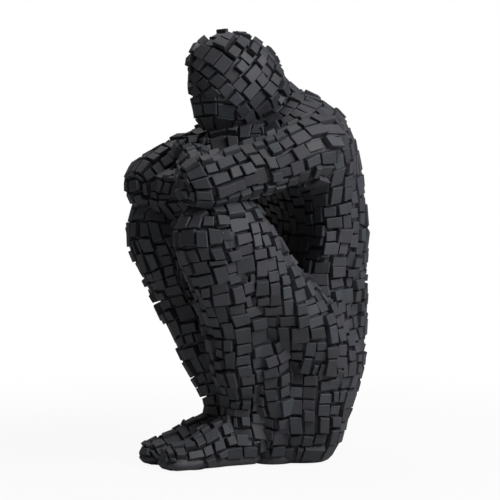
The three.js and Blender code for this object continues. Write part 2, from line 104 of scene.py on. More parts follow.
# black stoneware slip, cast and fired matt: soft wide sheen, faint clouding, no mirror reflections
def makeStoneware(look):
    material = bpy.data.materials.new("mattBlackStoneware")
    material.use_nodes = True
    tree = material.node_tree
    shader = tree.nodes["Principled BSDF"]
    place = addNode(tree, "ShaderNodeTexCoord")
    # the tone attribute holds each block's random tone, and on the groove floors a pale value that is
    # painted light in the shaded grooves
    toneAndGrooveLight = addNode(tree, "ShaderNodeAttribute", {"attribute_name": "blockTone"})
    rubAndHighlight = addNode(tree, "ShaderNodeAttribute", {"attribute_name": "edgeWear"})
    clouds, grains, pits = [
        addNode(tree, "ShaderNodeTexNoise", {"noise_dimensions": "3D"}, Vector=(place, "Object"),
                Scale=1 / (size * mm), Detail=detail)
        for size, detail in (look["blotch"], look["grain"], look["pit"])
    ]
    cloudShare = addNode(tree, "ShaderNodeMath", {"operation": "MULTIPLY_ADD"},
                         [(toneAndGrooveLight, "Fac"), look["toneWeight"], (clouds, "Fac")])
    thin, full = look["spread"]
    spread = addNode(tree, "ShaderNodeMapRange", Value=(cloudShare, "Value"), From_Min=thin, From_Max=full)
    turns = addNode(tree, "ShaderNodeMath", {"operation": "MULTIPLY"}, [(toneAndGrooveLight, "Fac"), look["tintTurns"]])
    tint = addNode(tree, "ShaderNodeMath", {"operation": "FRACT"}, [(turns, "Value")])
    thick = addNode(tree, "ShaderNodeMix", {"data_type": "RGBA"}, Factor=(tint, "Value"),
                    A=hexColour(look["pale"]), B=hexColour(look["tinted"]))
    body = addNode(tree, "ShaderNodeMix", {"data_type": "RGBA"}, Factor=(spread, "Result"),
                   A=hexColour(look["deep"]), B=(thick, "Result"))
    fine, coarse = look["grainRange"]
    dark, light = look["grainTone"]
    speck = addNode(tree, "ShaderNodeMapRange", Value=(grains, "Fac"), From_Min=fine, From_Max=coarse,
                    To_Min=dark, To_Max=light)
    speckled = addNode(tree, "ShaderNodeVectorMath", {"operation": "SCALE"}, Vector=(body, "Result"),
                       Scale=(speck, "Result"))
    # every arris is lightened all round: partly rubbed wear, partly a painted highlight
    rubAndHighlightShare = addNode(tree, "ShaderNodeMath", {"operation": "MULTIPLY"}, [(rubAndHighlight, "Fac"), look["edgeWearAndHighlightShare"]])
    wornAndHighlighted = addNode(tree, "ShaderNodeMix", {"data_type": "RGBA"}, Factor=(rubAndHighlightShare, "Value"),
                   A=(speckled, "Vector"), B=hexColour(look["edge"]))
    clear, clouded = look["cloudRange"]
    low, high = look["roughness"]
    sheen = addNode(tree, "ShaderNodeMapRange", Value=(clouds, "Fac"), From_Min=clear, From_Max=clouded,
                    To_Min=low, To_Max=high)
    relief = addNode(tree, "ShaderNodeBump", Strength=look["pitStrength"], Distance=look["pitDepth"] * mm,
                     Height=(pits, "Fac"))
    tree.links.new(socketNamed(wornAndHighlighted.outputs, "Result"), shader.inputs["Base Color"])
    tree.links.new(sheen.outputs["Result"], shader.inputs["Roughness"])
    tree.links.new(relief.outputs["Normal"], shader.inputs["Normal"])
    shader.inputs["IOR"].default_value = look["ior"]
    return material


feltLook = {
    "deep": "#141415", "pale": "#2a2a2c", "roughness": 0.95,
    "fibre": 0.9,             # mm, coarser than a real fibre so that it shows
    "detail": 5.0, "crossing": 1.5,
    "napDepth": 0.2,          # mm
    "napStrength": 0.6,
}


# needled black wool felt: no gloss, short crossed fibres
def makeFelt(look):
    material = bpy.data.materials.new("blackWoolFelt")
    material.use_nodes = True
    tree = material.node_tree
    shader = tree.nodes["Principled BSDF"]
    place = addNode(tree, "ShaderNodeTexCoord")
    fibres = addNode(tree, "ShaderNodeTexNoise", Vector=(place, "Object"),
                     Scale=1 / (look["fibre"] * mm), Detail=look["detail"], Distortion=look["crossing"])
    colour = addNode(tree, "ShaderNodeMix", {"data_type": "RGBA"}, Factor=(fibres, "Fac"),
                     A=hexColour(look["deep"]), B=hexColour(look["pale"]))
    nap = addNode(tree, "ShaderNodeBump", Strength=look["napStrength"], Distance=look["napDepth"] * mm,
                  Height=(fibres, "Fac"))
    tree.links.new(socketNamed(colour.outputs, "Result"), shader.inputs["Base Color"])
    tree.links.new(nap.outputs["Normal"], shader.inputs["Normal"])
    shader.inputs["Roughness"].default_value = look["roughness"]
    return material


stoneware = makeStoneware(stonewareLook)
felt = makeFelt(feltLook)
print("materials made")


# swept forms: a station is a centre and half widths to the side, the front and the back

sweepSettings = {
    "fineSteps": 2001,        # points that measure the middle line
    "sections": 241,
    "nudge": 1e-4,            # share of the line on each side of a point, for its direction
    "same": 1e-4,             # two points nearer than this count as one
    "normalTurn": 0.004,      # turns and mm on each side of a point, for the skin's normal
    "normalWay": 0.5,
    "fewestRows": 6,
    "probeAround": 40, "probePitch": 3.5,   # grid that gaps between forms are measured on
}


# centripetal curve through the points, at each share of the way along them
def throughPoints(points, share):
    last = len(points) - 1
    place = np.clip(share, 0, 1) * last
    i = np.minimum(place.astype(int), last - 1)
    w = (place - i)[:, None]
    run = np.vstack([2 * points[0] - points[1], points, 2 * points[-1] - points[-2]])
    p0, p1, p2, p3 = (run[i + k] for k in range(4))
    d0, d1, d2 = (np.sqrt(np.linalg.norm(b - a, axis=1))[:, None]
                  for a, b in ((p0, p1), (p1, p2), (p2, p3)))
    d1 = np.where(d1 < sweepSettings["same"], 1, d1)
    d0 = np.where(d0 < sweepSettings["same"], d1, d0)
    d2 = np.where(d2 < sweepSettings["same"], d1, d2)
    m1 = ((p1 - p0) / d0 - (p2 - p0) / (d0 + d1) + (p2 - p1) / d1) * d1
    m2 = ((p2 - p1) / d1 - (p3 - p1) / (d1 + d2) + (p3 - p2) / d2) * d1
    return p1 + w * m1 + w**2 * (3 * (p2 - p1) - 2 * m1 - m2) + w**3 * (2 * (p1 - p2) + m1 + m2)


def unit(vectors):
    return vectors / np.maximum(np.linalg.norm(vectors, axis=-1, keepdims=True), 1e-12)


# angle at each even share of the way round, for every section
def evenAngles(halves, samples=96):
    angle = np.linspace(0, 2 * math.pi, samples + 1)
    table = []
    for side, front, back in np.maximum(halves, 1e-6):
        x, y = np.cos(angle) * side, np.sin(angle) * np.where(np.sin(angle) > 0, front, back)
        way = np.concatenate([[0], np.cumsum(np.hypot(np.diff(x), np.diff(y)))])
        table.append(np.interp(angle / (2 * math.pi), way / way[-1], angle))
    return np.array(table)


def sweep(settings, shift):
    centres = np.array([s[:3] for s in settings["stations"]], float) + shift
    widths = np.array([s[3:] for s in settings["stations"]], float)
    fine = np.linspace(0, 1, sweepSettings["fineSteps"])
    line = throughPoints(centres, fine)
    run = np.concatenate([[0], np.cumsum(np.linalg.norm(np.diff(line, axis=0), axis=1))])
    along = np.linspace(0, 1, sweepSettings["sections"])
    share = np.interp(along * run[-1], run, fine)
    ahead = throughPoints(centres, np.minimum(share + sweepSettings["nudge"], 1))
    behind = throughPoints(centres, np.maximum(share - sweepSettings["nudge"], 0))
    tangent = unit(ahead - behind)
    lateral = np.array(settings.get("sideways", (1, 0, 0)), float)
    side = unit(lateral - tangent * (tangent @ lateral)[:, None])
    ends = [np.minimum(1, d * run[-1] / dome) for d, dome in zip((along, 1 - along), settings["domes"])]
    closing = np.sqrt((1 - (1 - ends[0])**2) * (1 - (1 - ends[1])**2))
    form = {"centre": throughPoints(centres, share), "side": side, "front": np.cross(side, tangent),
            "half": throughPoints(widths, share) * closing[:, None]}
    girth = math.pi * (form["half"][:, 0] + (form["half"][:, 1] + form["half"][:, 2]) / 2)
    rise = np.linalg.norm(np.diff(form["centre"], axis=0), axis=1)
    form["girth"] = girth
    form["angles"] = evenAngles(form["half"])
    form["travelled"] = np.concatenate([[0], np.cumsum(np.hypot(rise, np.diff(girth) / (2 * math.pi)))])
    form["length"] = form["travelled"][-1]
    return form


# points of the skin at distances from the first pole and shares of the way round
def skinPoint(form, distance, turn):
    count = len(form["travelled"])
    place = np.interp(np.clip(distance, 0, form["length"]), form["travelled"], np.arange(count))
    i = np.minimum(place.astype(int), count - 2)
    part = (place - i)[:, None]
    centre, side, front, half = (form[k][i] * (1 - part) + form[k][i + 1] * part
                                 for k in ("centre", "side", "front", "half"))
    samples = form["angles"].shape[1] - 1
    step = np.mod(np.asarray(turn), 1) * samples
    j = np.minimum(step.astype(int), samples - 1)
    over = step - j
    near, far = (form["angles"][k, j] * (1 - over) + form["angles"][k, j + 1] * over for k in (i, i + 1))
    angle = near * (1 - part[:, 0]) + far * part[:, 0]
    depth = np.where(np.sin(angle) > 0, half[:, 1], half[:, 2])
    return centre + side * (np.cos(angle) * half[:, 0])[:, None] + front * (np.sin(angle) * depth)[:, None]


def skinNormal(form, distance, turn):
    way, aside = sweepSettings["normalWay"], sweepSettings["normalTurn"]
    here = np.clip(distance, way, form["length"] - way)
    east = skinPoint(form, here, turn + aside) - skinPoint(form, here, turn - aside)
    north = skinPoint(form, here + way, turn) - skinPoint(form, here - way, turn)
    return unit(np.cross(north, east))


# grid of a whole form, pole to pole: (distances, turns, faces)
def skinGrid(form, around, pitch):
    rows = max(sweepSettings["fewestRows"], round(form["length"] / pitch))
    distances = [form["length"] * r / rows for r in range(1, rows) for _ in range(around)]
    distances = [0.0] + distances + [form["length"]]
    turns = [0.0] + [k / around for _ in range(1, rows) for k in range(around)] + [0.0]
    faces = []
    last = len(turns) - 1
    for k in range(around):
        after = (k + 1) % around
        faces.append((0, 1 + k, 1 + after))
        for r in range(rows - 2):
            low, high = 1 + r * around, 1 + (r + 1) * around
            faces.append((low + k, high + k, high + after, low + after))
        faces.append((last, last - around + after, last - around + k))
    return np.array(distances), np.array(turns), faces


# the castings, each with what a maker would change

figureSettings = {
    "base": 0.4,              # underside above the ground, on the felt pads
    "plainBand": 5.5,         # smooth band along the ground
    "bandBlend": 2.0,         # height over which the band runs into the grooves
    "bandLift": 0.8,          # plain band over the skin
    "footPadReach": -53.2,    # middle of the foot pads ahead of the figure's own origin
    "sink": 4.4,              # foot of a block under the skin
    "coreDepth": 2.1,         # groove floor under the skin
    "corePitch": 3.2,
}

# shares of the block sizes, in cells round the form and along it
mixedBlocks = {(2, 2): 62, (3, 2): 15, (2, 3): 17, (1, 2): 4, (2, 1): 2}
squareBlocks = {(2, 2): 84, (3, 2): 8, (2, 3): 8}
latticeBlocks = {(2, 2): 92, (3, 2): 4, (2, 3): 4}
longBlocks = {(1, 3): 30, (2, 3): 30, (2, 2): 30, (1, 2): 10}

trunkForm = {
    "stations": [
        (0, 25, -10, 46, 31, 24), (0, 26, 17, 46, 33, 26), (0, 28, 40, 49, 35, 32),
        (0, 28, 65, 45.5, 29, 42), (0, 26, 90, 44.5, 17, 48), (0, 24, 121.5, 45.5, 7, 50),
        (0, 27, 153, 48, 6, 47), (0, 24, 180, 52, 14, 42), (0, 17, 203, 54, 33, 42),
        (0, 4, 228, 51, 32, 41),
    ],
    "domes": (34, 34), "cell": 3.95, "seed": 11, "around": 96, "relief": 0.85,
    "bare": {"ahead": 22, "over": 95, "under": 190, "relief": 0.2},   # the belly is nearly smooth
}

neckForm = {
    "stations": [
        (0, 26, 204, 21.5, 19.5, 19.5), (0, 12, 223, 18.5, 18.5, 18.5), (0, -6, 241.2, 18.5, 18.5, 18.5),
    ],
    "domes": (8, 8), "cell": 4.0, "seed": 63, "around": 48, "relief": 0.7,
}
skullForm = {
    "stations": [(0, 7, 222, 25, 27, 24), (0, -13.2, 243.5, 25, 29, 26.5), (0, -39, 265.5, 25, 28, 24)],
    "domes": (26, 28), "cell": 4.2, "seed": 64, "around": 64, "sizes": latticeBlocks, "relief": 1.25,
    "lattice": {"slant": 45, "radius": 27, "past": 1.5},   # degrees, mean radius, left side past the middle
    "bare": {"ahead": -30, "over": 0, "under": 253, "relief": 0.3},   # the head is smooth where it is face
}
faceForm = {
    "stations": [
        (0, -25, 211, 18, 15.5, 15.5), (0, -25, 231.5, 19.5, 16.5, 17.5), (0, -28, 252, 20.5, 18.5, 17.5),
    ],
    "domes": (9, 19.5), "cell": 5.0, "seed": 62, "around": 48, "sizes": squareBlocks,
    "bare": {"ahead": -20, "over": 0, "under": 260, "relief": 0.35},
}

# breast under the chin, between the two shoulders
breastForm = {
    "stations": [(26, 10, 201, 13, 13, 13), (12, -10, 202, 14, 14, 14), (-2, -37, 200, 13, 13, 13)],
    "domes": (10, 12), "sideways": (0, 1, 0), "cell": 3.9, "seed": 65, "around": 44,
}


def thighForm(hand):
    return {
        "stations": [
            (20 * hand, 42, 49, 24.5, 23.5, 24), (28.5 * hand, 24, 80, 25.5, 24.5, 20.5),
            (33.4 * hand, -5.2, 112.2, 24.5, 23.5, 18.5), (35.5 * hand, -32, 144, 21.5, 21.5, 22.8),
            (35.5 * hand, -52, 165, 19.5, 19.5, 22),
        ],
        "domes": (24, 16), "cell": 3.8, "seed": 33 - 5 * hand, "around": 64,
        "slant": -32 * hand, "outer": 0.25 - 0.25 * hand,   # degrees, turn of the side that faces out
    }


def calfForm(hand):
    return {
        "stations": [
            (35.5 * hand, -53, 166, 19.5, 19.5, 19.5), (35.5 * hand, -53, 147, 19.5, 19.5, 19.5),
            (31.6 * hand, -38, 108, 18, 23, 17), (22 * hand, -27, 70, 17, 23, 14),
            (13.75 * hand, -18, 38, 12, 18, 11), (13.75 * hand, -17, 10, 13, 18, 12),
        ],
        "domes": (20, 8), "cell": 3.85, "seed": 27 - 5 * hand, "around": 56, "relief": 1.1, "patch": 4.2,
    }


# the soft fold of shin, thigh and seat
def foldForm(hand):
    return {
        "stations": [
            (14 * hand, 2, -12, 11, 11, 11), (20 * hand, 2, 18, 11, 10, 10),
            (27 * hand, -3, 56, 13, 12, 12), (31 * hand, -13, 92, 12, 12, 12),
        ],
        "domes": (10, 12), "cell": 3.85, "seed": 38 - 5 * hand, "around": 40,
    }


def footForm(hand):
    return {
        "stations": [
            (13.5 * hand, -2, 11, 11.5, 12, 10), (13.5 * hand, -14, 12, 12, 13, 14),
            (13.5 * hand, -31, 12, 12, 13, 16), (13.5 * hand, -54, 8, 12.5, 9, 9.5),
            (13.5 * hand, -76, 6, 12, 7, 6),
        ],
        "domes": (12, 12), "cell": 3.8, "seed": 30 - 5 * hand, "around": 48,
    }


def upperArmForm(hand, arch, drop, elbowReach):
    thick, elbowPast = 15.5, 14
    return {
        "stations": [
            (38 * hand, 30, 202, thick, thick, thick + 2),
            (49.5 * hand, 10, 201, thick, thick + 1, thick + 1),
            (45.5 * hand, -22, 192 + arch, thick, thick, thick),
            (36 * hand, -elbowReach - elbowPast, 178 - drop, thick, thick, thick),
        ],
        "domes": (14, 18), "cell": 3.9, "seed": 48 + 5 * hand, "around": 48,
    }


def foreArmForm(hand, elbow, wrist):
    thickest = 0.48           # share of the way from elbow to wrist
    belly = (1 - thickest) * np.array(elbow) + thickest * np.array(wrist)
    return {
        "stations": [(*elbow, 11, 11, 11), (*belly, 13, 13, 13), (*wrist, 10.5, 10.5, 10.5)],
        "domes": (11, 8), "sideways": (0, 1, 0), "cell": 3.8, "seed": 47 + 5 * hand, "around": 44,
    }


def handForm(wrist, tip, seed):
    tuck, arch = 0.1, (0, 0, 2)   # share of the hand inside the wrist, rise of the knuckles
    wrist, tip = np.array(wrist), np.array(tip)
    start, knuckles = wrist - tuck * (tip - wrist), (wrist + tip) / 2 + arch
    return {
        "stations": [(*start, 10.5, 9.5, 9.5), (*knuckles, 12, 7.5, 7.5), (*tip, 9, 5.5, 5.5)],
        "domes": (8, 8), "sideways": (0, 1, 0), "cell": 4.0, "seed": seed, "around": 36,
        "sizes": longBlocks,
    }


# the left arm lies on top, so the two differ a little
leftWrist, rightWrist = (-6, -42, 196), (6, -41, 172)
formSettings = {
    "trunk": trunkForm, "breast": breastForm, "neck": neckForm, "skull": skullForm, "face": faceForm,
    "leftThigh": thighForm(1), "leftCalf": calfForm(1), "leftFold": foldForm(1), "leftFoot": footForm(1),
    "rightThigh": thighForm(-1), "rightCalf": calfForm(-1), "rightFold": foldForm(-1),
    "rightFoot": footForm(-1),
    "leftUpperArm": upperArmForm(1, arch=-1, drop=0, elbowReach=59),
    "leftForeArm": foreArmForm(1, (36, -56, 178), leftWrist),
    "rightUpperArm": upperArmForm(-1, arch=2, drop=6, elbowReach=56.5),
    "rightForeArm": foreArmForm(-1, (-36, -53.5, 172), rightWrist),
    "leftHand": handForm(leftWrist, (-34, -27, 199), seed=55),
    "rightHand": handForm(rightWrist, (28, -22, 174), seed=45),
}

castings = {
    "torso": ("trunk", "breast"), "head": ("skull", "face", "neck"),
    "left_leg": ("leftThigh", "leftCalf", "leftFold"),
    "right_leg": ("rightThigh", "rightCalf", "rightFold"),
    "left_foot": ("leftFoot",), "right_foot": ("rightFoot",),
    "left_arm": ("leftUpperArm", "leftForeArm"), "right_arm": ("rightUpperArm", "rightForeArm"),
    "left_hand": ("leftHand",), "right_hand": ("rightHand",),
}

# radius of the sweep where two forms run into each other, mm
fillets = {
    ("neck", "trunk"): 14, ("neck", "skull"): 10, ("face", "skull"): 12, ("face", "neck"): 8,
    ("breast", "trunk"): 12, ("breast", "leftUpperArm"): 10, ("breast", "rightUpperArm"): 10,
    ("breast", "face"): 6,
    ("rightUpperArm", "rightCalf"): 18, ("rightForeArm", "rightCalf"): 18,
    ("rightUpperArm", "rightThigh"): 18, ("rightForeArm", "rightThigh"): 18,
}
for sideName in ("left", "right"):
    fillets.update({
        (sideName + "Thigh", "trunk"): 16, (sideName + "Calf", sideName + "Thigh"): 15,
        (sideName + "Foot", sideName + "Calf"): 10, (sideName + "UpperArm", "trunk"): 22,
        (sideName + "Calf", "trunk"): 10, (sideName + "Fold", "trunk"): 12,
        (sideName + "Fold", sideName + "Calf"): 12, (sideName + "Fold", sideName + "Thigh"): 12,
        (sideName + "Foot", "trunk"): 14,
        (sideName + "ForeArm", sideName + "UpperArm"): 8, (sideName + "Hand", sideName + "ForeArm"): 6,
    })

# at a seam the first form's courses stop and the second's go on
yielding = {("skull", "face"), ("neck", "skull"), ("neck", "trunk"),
            ("breast", "trunk"), ("breast", "leftUpperArm"), ("breast", "rightUpperArm")}
limbSeams = (("Calf", "Thigh"), ("Fold", "Thigh"), ("Fold", "Calf"), ("Foot", "Calf"),
             ("ForeArm", "UpperArm"), ("Hand", "ForeArm"), ("ForeArm", "Calf"), ("ForeArm", "Thigh"))
for sideName in ("left", "right"):
    yielding |= {(sideName + first, sideName + second) for first, second in limbSeams}
    yielding |= {(sideName + first, "trunk") for first in ("Thigh", "Fold")}

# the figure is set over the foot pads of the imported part
padCorners = [corner for node in ("left_foot_pad", "right_foot_pad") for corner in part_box(node)]
padMiddle = sum(padCorners, Vector()) / len(padCorners)
figureShift = np.array([padMiddle.x / mm, padMiddle.y / mm - figureSettings["footPadReach"], 0])

forms = {name: sweep(settings, figureShift) for name, settings in formSettings.items()}
skins = {}
for name, form in forms.items():
    distances, turns, faces = skinGrid(form, sweepSettings["probeAround"], sweepSettings["probePitch"])
    skins[name] = BVHTree.FromPolygons([Vector(p) for p in skinPoint(form, distances, turns)], faces)
print("forms swept:", len(forms))


# distance from a point to a form, less than zero inside it
def gapTo(name, point):
    spot, normal, _, distance = skins[name].find_nearest(Vector(point))
    return distance if (Vector(point) - spot).dot(normal) >= 0 else -distance


def filletsOf(name):
    return [(pair[1 - pair.index(name)], radius) for pair, radius in fillets.items() if name in pair]


# how far the skin swells out where the form runs into its neighbours
def swellAt(name, points):
    swell = np.zeros(len(points))
    for other, radius in filletsOf(name):
        gaps = np.array([max(0.0, gapTo(other, p)) for p in points])
        swell = np.maximum(swell, np.maximum(0, radius - gaps)**2 / (4 * radius))
    return swell


def girthAt(form, distance):
    return float(np.interp(distance, form["travelled"], form["girth"]))


blockLayout = {
    "flush": 0.24,            # share of joints that close up
    "wide": 0.18,             # share that open wide
    "groove": (0.45, 0.8),    # half width of a joint, mm
    "wideGroove": (0.95, 1.35),
    "closed": -0.1,
    "wave": 1.3,              # mm, rise and fall of a course on its way round
    "sway": 1.1,              # mm, the same of a joint on its way along
    "swayLength": 43,         # mm
    "slack": 0.4,             # mm, corners off square
    "twist": 4.0,             # degrees
    "tilt": 0.09,
    "seam": 0.5,              # turn where the courses close, on the far side
    "seamDrift": 0.04,
    "patch": 2.3,             # cells from a pole that straight courses face instead of rings
    "poleRoom": 1,            # mm, slanting courses keep this far off the poles
    "fewestColumns": 5,
    "squeeze": 0.18,          # change of girth at which a new band of courses starts
    "overlap": -4.0,          # mm, gap down to which a block reaches into a form it runs into
    "touch": -1.5,            # mm, the same for a form that it only touches
    "stop": 0.5,              # mm, the same for a form that it yields to
    "nearby": 70,             # mm, forms further off are left out of the search
    "true": 0.85,             # a block that a sharp fold would lean further than this is left out
}


def halfGroove(rng, layout):
    pick = rng.random()
    if pick < layout["flush"]:
        return layout["closed"]
    return rng.uniform(*layout["wideGroove" if pick < layout["flush"] + layout["wide"] else "groove"])


# cells for one block, so that no strip of a single cell is left beside it
def fitting(size, room):
    if room - size == 1:
        size = room if room < 4 else size + (1 if size < 3 else -1)
    return min(size, room)


# random ashlar: rectangles of whole cells that fill a band of rows and columns
def packCells(rows, columns, sizes, rng):
    taken = set()
    for row in range(rows):
        for column in range(columns):
            if (row, column) in taken:
                continue
            room = next((c for c in range(column, columns) if (row, c) in taken), columns) - column
            wide, high = rng.choices(list(sizes), list(sizes.values()))[0]
            wide, high = fitting(wide, room), fitting(high, rows - row)
            taken.update((row + r, column + c) for r in range(high) for c in range(wide))
            yield row, row + high, column, column + wide


# one block's outline in courses' own millimetres, with its joints and its corners a little off true
def jointed(south, north, west, east, rng):
    layout = blockLayout
    low, high = south + halfGroove(rng, layout), north - halfGroove(rng, layout)
    left, right = west + halfGroove(rng, layout), east - halfGroove(rng, layout)
    slack = layout["slack"]
    return [(p + slack * rng.uniform(-1, 1), q + slack * rng.uniform(-1, 1))
            for p, q in ((low, left), (high, left), (high, right), (low, right))]


# outlines of one form's blocks in (distance, turn)
def layBlocks(form, settings, rng):
    layout = blockLayout
    cell = settings["cell"]
    patch = settings.get("patch", layout["patch"])
    cap = patch * cell
    rows = max(2, round((form["length"] - 2 * cap) / cell))
    rise = (form["length"] - 2 * cap) / rows
    wavePhase, swayPhase = rng.random(), rng.random()
    sizes = settings.get("sizes", mixedBlocks)
    for pole, inward in ((0.0, 1), (form["length"], -1)):
        count = 2 * math.ceil(patch) + 2
        for block in packCells(count, count, squareBlocks, rng):
            corners = jointed(*((edge - count / 2) * cell for edge in block), rng)[::inward]
            if math.hypot(*np.mean(corners, axis=0)) < cap:
                yield [(pole + inward * math.hypot(p, q), math.atan2(q, p) / (2 * math.pi))
                       for p, q in corners]
    row = 0
    while row < rows:
        columns = max(layout["fewestColumns"], round(girthAt(form, cap + (row + 0.5) * rise) / cell))
        last = row + 2
        while last < rows:
            squeeze = girthAt(form, cap + (last + 0.5) * rise) / (columns * cell) - 1
            if abs(squeeze) >= layout["squeeze"]:
                break
            last += 1
        last = min(last, rows)
        offset = (layout["seam"] + rng.uniform(-layout["seamDrift"], layout["seamDrift"])) * columns
        for south, north, west, east in packCells(last - row, columns, sizes, rng):
            outline = []
            for p, q in jointed(south * rise, north * rise, west * cell, east * cell, rng):
                distance = cap + row * rise + p
                turn = (q / cell + offset) / columns
                swing = math.sin(2 * math.pi * (distance / layout["swayLength"] + swayPhase))
                sway = layout["sway"] / girthAt(form, distance) * swing
                wave = layout["wave"] * math.sin(2 * math.pi * (2 * turn + wavePhase))
                outline.append((distance + wave, turn + sway))
            yield outline
        row = last


# the same in courses that run aslant over the form, so that they go on from those of its neighbours
def laySlanted(form, settings, rng):
    cell, slant = settings["cell"], math.radians(settings["slant"])
    across, along = math.cos(slant), math.sin(slant)
    count = math.ceil(math.hypot(form["length"], form["girth"].max()) / cell)
    for block in packCells(count, count, settings.get("sizes", mixedBlocks), rng):
        outline = []
        for p, q in jointed(*((edge - count / 2) * cell for edge in block), rng):
            distance, way = form["length"] / 2 + p * across - q * along, p * along + q * across
            outline.append((distance, way / max(girthAt(form, distance), cell)))
        middle = sum(turn for _, turn in outline) / len(outline)
        room = blockLayout["poleRoom"]
        isClear = all(room < distance < form["length"] - room for distance, _ in outline)
        if isClear and abs(middle) <= 0.5:
            yield [(distance, turn + settings["outer"]) for distance, turn in outline]


# corners and their normals for diagonal courses that spread from the middle of each side of a round form
def layLattice(name, settings, rng):
    cell, slant = settings["cell"], math.radians(settings["lattice"]["slant"])
    radius, past = settings["lattice"]["radius"], settings["lattice"]["past"]
    heart = forms[name]["centre"].mean(0)
    along = np.array((0, -math.sin(slant), math.cos(slant)))
    count = 2 * math.ceil(math.pi * radius / 2 / cell) + 2
    for hand in (1, -1):
        sideward = np.array((hand, 0, 0))
        across = np.cross(sideward, along)
        for block in packCells(count, count, settings["sizes"], rng):
            hits = []
            for p, q in jointed(*((edge - count / 2) * cell for edge in block), rng):
                way = math.hypot(p, q)
                spread = (p * along + q * across) / way
                ray = sideward * math.cos(way / radius) + spread * math.sin(way / radius)
                hits.append(skins[name].ray_cast(Vector(heart), Vector(ray)))
            skin, outward = (np.array([hit[k] for hit in hits]) for k in (0, 1))
            isLeft = (skin.mean(0) - heart)[0] > -past
            if isLeft == (hand == 1):
                yield skin, outward


# feet of the blocks as flat outlines just under the skin, without those that another form hides
def blockFeet(name):
    form, settings = forms[name], formSettings[name]
    rng = random.Random(settings["seed"])
    if "lattice" in settings:
        laid = layLattice(name, settings, rng)
    else:
        outlines = (laySlanted if "slant" in settings else layBlocks)(form, settings, rng)
        places = (np.array(outline).T for outline in outlines)
        laid = ((skinPoint(form, *place), skinNormal(form, *place)) for place in places)
    bare = settings.get("bare")
    soft = dict(filletsOf(name))
    low, high = form["centre"].min(0) - blockLayout["nearby"], form["centre"].max(0) + blockLayout["nearby"]
    others = [o for o in forms if o != name and np.all(forms[o]["centre"].max(0) > low)
              and np.all(forms[o]["centre"].min(0) < high)]
    limits = {o: blockLayout["stop" if (name, o) in yielding else "overlap" if o in soft else "touch"]
              for o in others}
    points, faces, reliefs = [], [], []
    for skin, outward in laid:
        twist = math.radians(rng.uniform(-1, 1) * blockLayout["twist"])
        lean = [rng.uniform(-1, 1) * blockLayout["tilt"] for _ in range(2)]
        middle = skin.mean(0)
        if middle[2] < figureSettings["base"] + figureSettings["plainBand"]:
            continue
        if any(gapTo(o, middle) < limit for o, limit in limits.items()):
            continue
        skin = skin + outward * swellAt(name, skin)[:, None]
        middle = skin.mean(0)
        spokes = skin - middle
        normal = unit(sum(np.cross(a, b) for a, b in zip(spokes, np.roll(spokes, -1, axis=0))))
        if normal @ unit(outward.mean(0)) < blockLayout["true"]:
            continue
        across = unit(np.cross(normal, spokes[0]))
        along = np.cross(across, normal)
        flat = np.stack([spokes @ along, spokes @ across], axis=1)
        turned = flat @ np.array([[math.cos(twist), math.sin(twist)], [-math.sin(twist), math.cos(twist)]])
        depth = turned @ np.array(lean) - figureSettings["sink"]
        corners = middle + turned[:, :1] * along + turned[:, 1:] * across + depth[:, None] * normal
        faces.append(tuple(range(len(points), len(points) + len(corners))))
        points.extend(corners)
        isBare = (bare and middle[1] - figureShift[1] < bare["ahead"]
                  and bare["over"] < middle[2] < bare["under"])
        reliefs.append(bare["relief"] if isBare else settings.get("relief", 1.0))
    return points, faces, reliefs


# the smooth body that shows as the floor of the grooves and as the plain band along the ground
def coreSkin(name):
    form = forms[name]
    distance, turn, faces = skinGrid(form, formSettings[name]["around"], figureSettings["corePitch"])
    skin = skinPoint(form, distance, turn)
    outward = skinNormal(form, distance, turn)
    outward[0] = -unit(form["centre"][1] - form["centre"][0])
    outward[-1] = unit(form["centre"][-1] - form["centre"][-2])
    blend = figureSettings["bandBlend"]
    band = np.clip((figureSettings["plainBand"] + blend / 2 - skin[:, 2]) / blend, 0, 1)
    depth = swellAt(name, skin) - figureSettings["coreDepth"] * (1 - band)
    depth = depth + figureSettings["bandLift"] * band
    skin = skin + outward * depth[:, None]
    skin[:, 2] = np.maximum(skin[:, 2], figureSettings["base"])
    return list(skin), faces


# Geometry Nodes tree that raises the blocks from their feet

facingSettings = {
    "Block height": -0.4 * mm,    # lowest crown over the skin
    "Height spread": 3.5 * mm,    # from the lowest to the highest
    "Height skew": 1.1,           # over 1 there are more low blocks than high ones
    "Sink": figureSettings["sink"] * mm,
    "Draft": 0.03,
    "Chamfer": 0.55 * mm,
    "Groove painted light": 0.9,            # groove floors painted paler than most blocks: painted light that lifts the shade in the grooves
}
lipShares = ((0.55, 0.25), (0.25, 0.6))   # rise and inset of the two facets of a worn arris, in chamfers
toneSeed = 101                            # keeps a block's tone apart from its height
weld = 0.002 * mm


